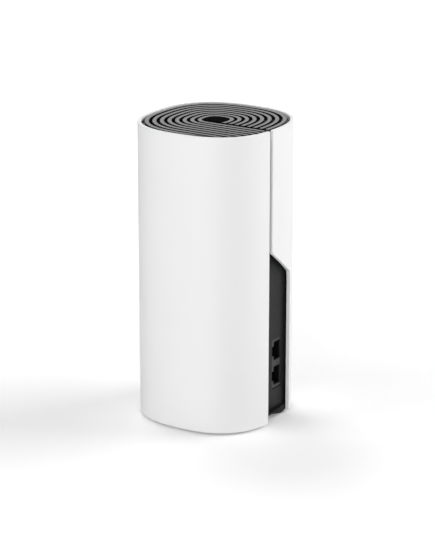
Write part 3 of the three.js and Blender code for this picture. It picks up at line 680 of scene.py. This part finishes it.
class NODE_OT_build_shell(Operator):
    """Build the wrapped outer shell with its slot, cut-out and light opening"""

    bl_idname = "mesh_node.build_shell"
    bl_label = "Outer Shell"

    def slot_outline(self, sizes, top):
        centre = (sizes.slot_right + sizes.slot_corner, top - sizes.slot_corner)
        corner = arc(centre, sizes.slot_corner, math.pi, math.pi / 2, steps=6)
        above = top + sizes.slot_corner
        return [
            (sizes.slot_left, 0), (sizes.slot_right, 0),
            *corner, (corner[-1][0], above), (sizes.slot_left, above),
        ]

    def recess_outline(self, sizes):
        bend = math.tan((math.pi / 2 - sizes.recess_fall) / 2)
        drop = (sizes.recess_right - sizes.slot_right) * math.tan(sizes.recess_fall)
        corner_z = sizes.recess_top - drop - sizes.recess_corner * bend
        tip_z = sizes.recess_top + sizes.recess_tip * bend
        corner_centre = (sizes.recess_right - sizes.recess_corner, corner_z)
        tip_centre = (sizes.slot_right + sizes.recess_tip, tip_z)
        return [
            (sizes.slot_left, 0),
            (sizes.recess_right, 0),
            *arc(corner_centre, sizes.recess_corner, 0, math.pi / 2 - sizes.recess_fall, steps=8),
            *arc(tip_centre, sizes.recess_tip, 1.5 * math.pi - sizes.recess_fall, math.pi, steps=5),
            (sizes.slot_left, tip_z),
        ]

    def light_outline(self, sizes):
        low, high = LIGHT
        middle = (low.z + high.z) / 2
        radius = (high.z - low.z) / 2
        ends = (high.x - radius, middle), (low.x + radius, middle)
        radius += sizes.light_gap
        return [
            *arc(ends[0], radius, -math.pi / 2, math.pi / 2, steps=8),
            *arc(ends[1], radius, math.pi / 2, 1.5 * math.pi, steps=8),
        ]

    def execute(self, context):
        sizes = context.scene.node_shell
        low, high = SHELL
        bm = bmesh.new()
        raise_edges(bm, plan_ring(bm, high.x, low.z, sizes.segments), (0, 0, high.z - low.z))
        face_outward(bm)
        carve(bm, self.slot_outline(sizes, high.z), -1)
        carve(bm, self.recess_outline(sizes), -1)
        carve(bm, self.light_outline(sizes), 1)
        put_in_order(bm)
        bmesh.ops.remove_doubles(bm, verts=bm.verts[:], dist=SLIVER)
        shell = piece_of(bm, "wrapped_shell", smooth_angle=0, clean=False)
        wall = shell.modifiers.new("Wall", "SOLIDIFY")
        wall.thickness = sizes.wall
        wall.offset = -1
        wall.use_even_offset = True
        edges = shell.modifiers.new("Edges", "BEVEL")
        edges.limit_method = "ANGLE"
        edges.angle_limit = BEVELLED_ANGLE
        edges.width = sizes.rounding
        edges.segments = 3
        edges.use_clamp_overlap = False
        settle(shell, "shell", "outer_shell")
        return {"FINISHED"}


class NODE_OT_build_grille(Operator):
    """Build the top grille: nested ribs, straight on the left, on a wheel of spokes"""

    bl_idname = "mesh_node.build_grille"
    bl_label = "Top Grille"

    def rib(self, sizes, half, tip_x, rim, top):
        """One rib: a flat band along the outline, opened at the back, raised and rounded."""
        outer, inner = half + sizes.rib_width / 2, half - sizes.rib_width / 2
        bottom = top - sizes.rib_height
        bm = bmesh.new()
        loops = plan_ring(bm, outer, bottom, sizes.segments) + plan_ring(bm, inner, bottom, sizes.segments)
        bmesh.ops.bridge_loops(bm, edges=loops)
        cut_line(bm, (tip_x, 0, 0), (1, 0, 0), lambda face: face.calc_center_median().y < 0)
        middles = {face: face.calc_center_median() for face in bm.faces}
        back = [face for face, middle in middles.items() if middle.x < tip_x and middle.y < 0]
        bmesh.ops.delete(bm, geom=back, context="FACES")
        open_edges = [edge for edge in bm.edges if len(edge.link_faces) == 1]
        left = [e for e in open_edges if all(abs(v.co.y) < MERGE and v.co.x < 0 for v in e.verts)]
        bar = bmesh.ops.extrude_edge_only(bm, edges=left)["geom"]
        for vert in only(BMVert, bar):
            vert.co.y = -outline_reach(rim, vert.co.x)
        raise_faces(bm, bm.faces[:], (0, 0, sizes.rib_height))
        face_outward(bm)
        tip = [
            edge for edge in bm.edges
            if all(abs(v.co.x - tip_x) < MERGE for v in edge.verts)
            and abs(edge.verts[0].co.z - edge.verts[1].co.z) > sizes.rib_height / 2
        ]
        round_edges(bm, tip, sizes.rib_width * TIP_ROUNDING, segments=8)
        round_edges(bm, rims(bm, 2, top), sizes.rounding)
        return bm

    def wheel(self, sizes, half, low_z, rib_bottom):
        """The carrier ring and the spokes under the ribs."""
        bm = bmesh.new()
        loops = plan_ring(bm, half, low_z, sizes.segments)
        loops += plan_ring(bm, half - sizes.ring_width, low_z, sizes.segments)
        band = bmesh.ops.bridge_loops(bm, edges=loops)["faces"]
        raise_faces(bm, band, (0, 0, rib_bottom - low_z))
        start = sizes.rib_first - sizes.rib_width / 2
        for i in range(sizes.spoke_count):
            turn = math.radians(360 * (i + FIRST_SPOKE) / sizes.spoke_count)
            reach = half / outline_share(math.cos(turn), math.sin(turn)) - sizes.ring_width / 2
            verts = block(
                bm,
                (start, -sizes.spoke_width / 2, low_z),
                (reach, sizes.spoke_width / 2, rib_bottom + sizes.spoke_overlap),
            )
            bmesh.ops.rotate(bm, verts=verts, cent=(0, 0, 0), matrix=Matrix.Rotation(turn, 3, "Z"))
        return bm

    def execute(self, context):
        sizes = context.scene.node_grille
        low, high = GRILLE
        tip_x = context.scene.node_shell.slot_right + sizes.rib_width / 2
        whole = bmesh.new()
        parts = [self.wheel(sizes, high.x, low.z, high.z - sizes.rib_height)]
        for i in range(sizes.rib_count):
            half = sizes.rib_first + i * sizes.rib_pitch
            parts.append(self.rib(sizes, half, tip_x, high.x - sizes.rim_gap, high.z))
        for part in parts:
            face_outward(part)
            mesh = bpy.data.meshes.new("part")
            part.to_mesh(mesh)
            part.free()
            whole.from_mesh(mesh)
            bpy.data.meshes.remove(mesh)
        grille = piece_of(whole, "ribbed_grille", clean=False)
        settle(grille, "grille", "top_grille")
        return {"FINISHED"}


class NODE_OT_build_panel(Operator):
    """Build the port panel with its socket window and the hole for the power inlet"""

    bl_idname = "mesh_node.build_panel"
    bl_label = "Port Panel"

    def round_hole(self, bm, middle, radius, segments):
        """Opens a round hole in the sheet inside a square of cuts."""
        reach = radius * HOLE_FIELD
        for axis in (0, 2):
            for side in (-1, 1):
                point = Vector(middle)
                point[axis] += side * reach
                normal = Vector((0, 0, 0))
                normal[axis] = 1
                cut_line(bm, point, normal)
        square = [
            face for face in bm.faces
            if all(abs(face.calc_center_median()[axis] - middle[axis]) < reach for axis in (0, 2))
        ]
        edges = unique(edge for face in square for edge in face.edges)
        sides = [edge for edge in edges if len(set(edge.link_faces) & set(square)) == 1]
        bmesh.ops.delete(bm, geom=square, context="FACES")
        rim = bmesh.ops.subdivide_edges(bm, edges=sides, cuts=segments // 4 - 1)
        square_loop = [edge for edge in unique(only(BMEdge, rim["geom"])) if edge.is_boundary]
        verts = bmesh.ops.create_circle(bm, segments=segments, radius=radius)["verts"]
        spun = Matrix.Rotation(math.pi / 2, 3, "X") @ Matrix.Rotation(math.pi / 4, 3, "Z")
        bmesh.ops.rotate(bm, verts=verts, cent=(0, 0, 0), matrix=spun)
        bmesh.ops.translate(bm, verts=verts, vec=middle)
        circle = unique(edge for vert in verts for edge in vert.link_edges)
        bmesh.ops.bridge_loops(bm, edges=square_loop + circle)

    def execute(self, context):
        sizes = context.scene.node_panel
        ports = context.scene.node_sockets
        low, high = PANEL
        upper, lower = SOCKETS["upper"], SOCKETS["lower"]
        side = (upper[1].z - upper[0].z - ports.width) / 2
        far = ports.latch + ports.step + ports.body
        window = (
            (ports.latch - sizes.window_side, lower[0].z + side - sizes.window_end),
            (far + sizes.window_side, upper[1].z - side + sizes.window_end),
        )
        pocket = (
            (lower[0].x - sizes.pocket_gap, lower[0].z - sizes.pocket_gap),
            (lower[1].x + sizes.pocket_gap, upper[1].z + sizes.pocket_gap),
        )

        def within(opening, face):
            (x0, z0), (x1, z1) = opening
            middle = face.calc_center_median()
            return x0 < middle.x < x1 and z0 < middle.z < z1

        def on_socket_side(face):
            return face.calc_center_median().x > 0

        bm = bmesh.new()
        sheet(bm, low.y, (low.x, low.z), (high.x, high.z))
        inlet = rear_middle(*INLET)
        inlet.y = low.y
        self.round_hole(bm, inlet, sizes.inlet_hole, sizes.inlet_segments)
        for opening in (window, pocket):
            for x, z in opening:
                cut_line(bm, (x, 0, 0), (1, 0, 0), on_socket_side)
                cut_line(bm, (0, 0, z), (0, 0, 1), on_socket_side)
        bmesh.ops.delete(bm, geom=[f for f in bm.faces if within(window, f)], context="FACES")
        bmesh.ops.remove_doubles(bm, verts=bm.verts[:], dist=MERGE)
        front = bm.faces[:]
        back = raise_faces(bm, front, (0, sizes.lip, 0))
        thick = [face for face in back if not within(pocket, face)]
        raise_faces(bm, thick, (0, high.y - low.y - sizes.lip, 0))
        face_outward(bm)
        round_edges(bm, rims(bm, 1, low.y), sizes.bevel)
        panel = piece_of(bm, "port_panel")
        settle(panel, "panel_plastic", "rear_panel")
        return {"FINISHED"}


class NODE_OT_build_sockets(Operator):
    """Build the two network sockets with their latch slots and spring contacts"""

    bl_idname = "mesh_node.build_sockets"
    bl_label = "Network Sockets"

    def socket(self, sizes, level):
        low, high = SOCKETS[level]
        middle = (low.z + high.z) / 2
        meet = (SOCKETS["upper"][0].z + SOCKETS["lower"][1].z) / 2
        foot = meet + sizes.seam / 2 if level == "upper" else low.z
        head = meet - sizes.seam / 2 if level == "lower" else high.z
        step, top = sizes.latch + sizes.step, sizes.latch + sizes.step + sizes.body
        bm = bmesh.new()
        sheet(bm, low.y, (low.x, foot), (high.x, head))
        for x in (sizes.latch, step, top):
            cut_line(bm, (x, 0, 0), (1, 0, 0))
        for reach in (sizes.width / 2, sizes.latch_width / 2):
            for side in (-1, 1):
                cut_line(bm, (0, 0, middle + side * reach), (0, 0, 1))

        def open_here(face):
            centre = face.calc_center_median()
            off = abs(centre.z - middle)
            return step < centre.x < top and off < sizes.width / 2 or (
                sizes.latch < centre.x < step and off < sizes.latch_width / 2
            )

        mouth = [face for face in bm.faces if open_here(face)]
        rim = [edge for edge in bm.edges if len(edge.link_faces) == 1]
        raise_faces(bm, mouth, (0, sizes.depth, 0))
        sides = raise_edges(bm, rim, (0, high.y - low.y, 0))
        bmesh.ops.holes_fill(bm, edges=only(BMEdge, sides), sides=0)
        face_outward(bm)
        port = [
            edge for edge in rims(bm, 1, low.y)
            if all(sizes.latch - MERGE < v.co.x < top + MERGE for v in edge.verts)
            and all(abs(v.co.z - middle) < sizes.width / 2 + MERGE for v in edge.verts)
        ]
        round_edges(bm, port, sizes.bevel)
        piece = piece_of(bm, f"network_socket_{level}")
        settle(piece, "socket_plastic", f"rj45_jack_{level}")

    def contacts(self, sizes, level):
        """Spring wires that lean out of the port's far wall towards its back."""
        low, high = SOCKETS[level]
        middle = (low.z + high.z) / 2
        wall = sizes.latch + sizes.step + sizes.body
        start, end = low.y + sizes.contact_setback, low.y + sizes.depth
        thickness = sizes.contact_width / 2
        bm = bmesh.new()
        for i in range(sizes.contact_count):
            z = middle + (i - (sizes.contact_count - 1) / 2) * sizes.contact_pitch
            verts = block(
                bm,
                (wall + thickness, start, z - sizes.contact_width / 2),
                (wall + 2 * thickness, end, z + sizes.contact_width / 2),
            )
            for vert in verts:
                if vert.co.y > (start + end) / 2:
                    vert.co.x -= sizes.contact_droop
        edges = [edge for edge in bm.edges if edge.calc_length() > sizes.depth / 2]
        round_edges(bm, edges, thickness * WIRE_ROUNDING)
        piece = piece_of(bm, f"spring_contacts_{level}")
        settle(piece, "contact_metal", f"rj45_contacts_{level}", flat=False)

    def execute(self, context):
        sizes = context.scene.node_sockets
        for level in SOCKETS:
            self.socket(sizes, level)
            self.contacts(sizes, level)
        return {"FINISHED"}


class NODE_OT_build_inlet(Operator):
    """Build the power inlet and its centre pin"""

    bl_idname = "mesh_node.build_inlet"
    bl_label = "Power Inlet"

    def execute(self, context):
        sizes = context.scene.node_inlet
        low, high = INLET
        middle = rear_middle(low, high)
        radius, depth = sizes.bore, sizes.bore_depth
        reach = min(high.x - low.x, high.z - low.z) / 2
        back = high.y - low.y
        barrel = turned(
            [
                (0, depth), (radius, depth), (radius, sizes.rounding), (radius + sizes.rounding, 0),
                (reach - sizes.rounding, 0), (reach, sizes.rounding), (reach, back), (0, back),
            ],
            middle, sizes.segments, axis="Y",
        )
        inlet = piece_of(barrel, "power_inlet")
        settle(inlet, "socket_plastic", "dc_jack")

        pin_low, pin_high = INLET_PIN
        pin_radius = (pin_high.x - pin_low.x) / 2
        tip, end = pin_low.y - low.y, pin_high.y - low.y
        pin = turned(
            [
                (0, tip), (pin_radius * PIN_TIP_RADIUS, tip), (pin_radius, tip + pin_radius * PIN_TIP_LENGTH),
                (pin_radius, end), (0, end),
            ],
            middle, sizes.segments, axis="Y",
        )
        piece = piece_of(pin, "inlet_pin", smooth_angle=50)
        settle(piece, "screw_steel", "dc_jack_pin", flat=False)
        return {"FINISHED"}


class NODE_OT_build_base(Operator):
    """Build the feet and the bare label under the node"""

    bl_idname = "mesh_node.build_base"
    bl_label = "Feet And Label"

    def foot(self, sizes, name):
        low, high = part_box(name)
        radius = (high.x - low.x) / 2
        height, groove = high.z - low.z, sizes.foot_groove
        ring = radius * FOOT_RING
        foot = turned(
            [
                (0, 0), (ring - groove, 0), (ring - groove / 2, groove / 2), (ring, 0),
                *lower_rim(radius, sizes.foot_rounding), (radius, height), (0, height),
            ],
            lower_middle(low, high), sizes.segments,
        )
        piece = piece_of(foot, f"soft_{name}")
        settle(piece, "rubber", name)

    def label(self, sizes):
        low, high = LABEL
        bm = bmesh.new()
        block(bm, low, high)
        upright = [edge for edge in bm.edges if abs(edge.verts[0].co.z - edge.verts[1].co.z) > MERGE]
        round_edges(bm, upright, sizes.label_corner, segments=6)
        piece = piece_of(bm, "bare_label")
        settle(piece, "label_film", "rating_label", flat=False)

    def execute(self, context):
        sizes = context.scene.node_base
        for i in range(FOOT_COUNT):
            self.foot(sizes, f"rubber_foot_{i + 1}")
        self.label(sizes)
        return {"FINISHED"}


class NODE_OT_build_button(Operator):
    """Build the reset button and the plunger that it presses"""

    bl_idname = "mesh_node.build_button"
    bl_label = "Reset Button"

    def execute(self, context):
        sizes = context.scene.node_base
        low, high = BUTTON
        flange, height = (high.x - low.x) / 2, high.z - low.z
        radius, stalk, dish = sizes.button_radius, sizes.button_stalk, sizes.button_dish
        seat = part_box("base_plate")[0].z + sizes.button_collar - low.z
        shoulder = seat + sizes.button_flange
        button = turned(
            [
                (0, dish), *((radius * out, dish * up) for out, up in DISH_POINTS), *lower_rim(radius, dish),
                (radius, seat), (flange, seat), (flange, shoulder),
                (stalk, shoulder), (stalk, height), (0, height),
            ],
            lower_middle(low, high), sizes.segments,
        )
        piece = piece_of(button, "reset_button_cap")
        settle(piece, "button_plastic", "reset_button", body="reset_button", flat=False)

        low, high = PLUNGER
        radius, height = (high.x - low.x) / 2, high.z - low.z
        plunger = turned(
            [(0, 0), *lower_rim(radius, radius * PLUNGER_ROUNDING), (radius, height), (0, height)],
            lower_middle(low, high), sizes.segments,
        )
        piece = piece_of(plunger, "switch_plunger_cap")
        settle(piece, "button_plastic", "switch_plunger", body="reset_button", flat=False)
        return {"FINISHED"}


class NODE_OT_set_stage(Operator):
    """Set the floor, the soft light and the camera"""

    bl_idname = "mesh_node.set_stage"
    bl_label = "Floor, Light And Camera"

    def floor(self, sizes):
        """A pale floor that only the camera sees glow, more so away from the node."""
        bm = bmesh.new()
        bmesh.ops.create_grid(bm, x_segments=4, y_segments=4, size=sizes.floor_size / 2)
        floor = piece_of(bm, "floor")
        material, shader = plain_material("pale_floor", sizes.floor_colour, 0.9)
        tree, plain = material.node_tree, shader.outputs["BSDF"]
        reach = add_node(tree, "VectorMath", {0: object_place(material)}, operation="LENGTH")
        grow = add_node(tree, "MapRange", {
            "Value": reach.outputs["Value"],
            "From Min": sizes.glow_start, "From Max": sizes.glow_end,
            "To Min": sizes.glow_near, "To Max": sizes.glow_far,
        })
        glow = add_node(tree, "Emission", {"Strength": grow.outputs["Result"]})
        both = add_node(tree, "AddShader", {0: plain, 1: glow.outputs["Emission"]}).outputs["Shader"]
        from_camera = add_node(tree, "LightPath").outputs["Is Camera Ray"]
        seen = add_node(tree, "MixShader", {"Fac": from_camera, 1: plain, 2: both})
        tree.links.new(seen.outputs["Shader"], tree.nodes["Material Output"].inputs["Surface"])
        floor.data.materials.append(material)

    def world(self):
        """White behind everything and in reflections, but no light of its own."""
        world = bpy.data.worlds.new("studio")
        bpy.context.scene.world = world
        world.use_nodes = True
        tree = world.node_tree
        dark = tree.nodes["Background"]
        dark.inputs["Strength"].default_value = 0
        white = add_node(tree, "Background", {"Color": (1, 1, 1, 1)})
        ray = add_node(tree, "LightPath").outputs
        sees = ray["Is Camera Ray"]
        for kind in ("Is Transmission Ray", "Is Glossy Ray"):
            sees = add_node(tree, "Math", {0: sees, 1: ray[kind]}, operation="MAXIMUM").outputs["Value"]
        seen = add_node(
            tree, "MixShader", {"Fac": sees, 1: dark.outputs["Background"], 2: white.outputs["Background"]},
        )
        tree.links.new(seen.outputs["Shader"], tree.nodes["World Output"].inputs["Surface"])

    def facing(self, name, data, aim, way, distance):
        """A light or camera that faces a point from some way off."""
        item = bpy.data.objects.new(name, data)
        item.location = Vector(aim) + way * distance
        item.rotation_euler = way.to_track_quat("Z", "Y").to_euler()
        bpy.context.scene.collection.objects.link(item)
        return item

    def softbox(self, name, turn, rise, distance, size, watts):
        """A square soft light that faces the node, by its turn and rise in degrees."""
        light = bpy.data.lights.new(name, "AREA")
        light.shape = "SQUARE"
        light.size = size
        light.energy = watts
        way = direction(math.radians(turn), math.radians(rise))
        lamp = self.facing(name, light, (0, 0, AIM_HEIGHT), way, distance)
        lamp.visible_glossy = name == RIB_LIGHT

    def camera(self, sizes):
        data = bpy.data.cameras.new("camera")
        data.lens = sizes.lens
        way = direction(sizes.view_turn, sizes.view_rise)
        aim = (sizes.view_x, sizes.view_y, sizes.view_z)
        bpy.context.scene.camera = self.facing("camera", data, aim, way, sizes.view_distance)

    def execute(self, context):
        sizes = context.scene.node_stage
        context.scene.view_settings.view_transform = "Standard"
        self.floor(sizes)
        self.world()
        for name, turn, rise, size, watts in SOFTBOXES:
            self.softbox(name, turn, rise, sizes.light_distance, size, watts)
        self.camera(sizes)
        return {"FINISHED"}


# ---------------- panel and registration

OPERATORS = (
    NODE_OT_mix_finishes,
    NODE_OT_build_shell,
    NODE_OT_build_grille,
    NODE_OT_build_panel,
    NODE_OT_build_sockets,
    NODE_OT_build_inlet,
    NODE_OT_build_base,
    NODE_OT_build_button,
    NODE_OT_set_stage,
)

SETTINGS = {
    "node_shell": ShellSizes,
    "node_grille": GrilleSizes,
    "node_panel": PanelSizes,
    "node_sockets": SocketSizes,
    "node_inlet": InletSizes,
    "node_base": BaseSizes,
    "node_colours": Finishes,
    "node_stage": StageSizes,
}


class NODE_PT_mesh_node(Panel):
    """The node's pieces, in the order in which they are built"""

    bl_label = "Mesh Node"
    bl_idname = "NODE_PT_mesh_node"
    bl_space_type = "VIEW_3D"
    bl_region_type = "UI"
    bl_category = "Mesh Node"

    def draw(self, context):
        for operator in OPERATORS:
            self.layout.operator(operator.bl_idname)


CLASSES = (*SETTINGS.values(), *OPERATORS, NODE_PT_mesh_node)


def register():
    for cls in CLASSES:
        bpy.utils.register_class(cls)
    for name, group in SETTINGS.items():
        setattr(bpy.types.Scene, name, PointerProperty(type=group))


def unregister():
    for name in SETTINGS:
        delattr(bpy.types.Scene, name)
    for cls in reversed(CLASSES):
        bpy.utils.unregister_class(cls)


def main():
    register()
    bpy.ops.mesh_node.set_stage()
    bpy.ops.mesh_node.mix_finishes()
    bpy.ops.mesh_node.build_shell()
    bpy.ops.mesh_node.build_grille()
    bpy.ops.mesh_node.build_panel()
    bpy.ops.mesh_node.build_sockets()
    bpy.ops.mesh_node.build_inlet()
    bpy.ops.mesh_node.build_base()
    bpy.ops.mesh_node.build_button()


if __name__ == "__main__":
    main()
